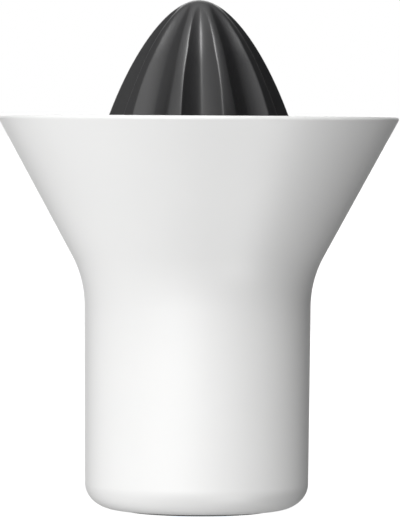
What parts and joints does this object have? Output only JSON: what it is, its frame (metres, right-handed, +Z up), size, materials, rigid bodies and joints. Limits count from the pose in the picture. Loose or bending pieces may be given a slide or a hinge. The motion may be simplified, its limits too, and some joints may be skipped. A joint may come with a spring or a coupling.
{
  "type": "citrus press",
  "caption": "White citrus press: smooth vessel opening into a conical funnel, with a slotted strainer and a dark fluted reamer that lift out.",
  "frame": {"origin": "on the table, under the middle of the vessel", "axes": "+Z up along the axis of the vessel and the reamer, -Y towards the viewer, one flute facing the viewer"},
  "size_m": [0.12, 0.12, 0.1534],
  "materials": {
    "porcelain": "satin",
    "pad_silicone": "matte",
    "strainer_nylon": "satin",
    "seal_silicone": "matte",
    "reamer_nylon": "satin"
  },
  "bodies": {
    "vessel": {"vessel": "porcelain", "foot_pad": "pad_silicone"},
    "strainer": {"strainer": "strainer_nylon", "strainer_seal": "seal_silicone"},
    "reamer": {"reamer": "reamer_nylon"}
  },
  "joints": [
    {"name": "strainer_lift", "type": "slide", "parent": "vessel", "child": "strainer", "axis": [0, 0, 1], "range_m": [0, 0.05]},
    {"name": "reamer_lift", "type": "slide", "parent": "strainer", "child": "reamer", "axis": [0, 0, 1], "range_m": [0, 0.05]}
  ]
}
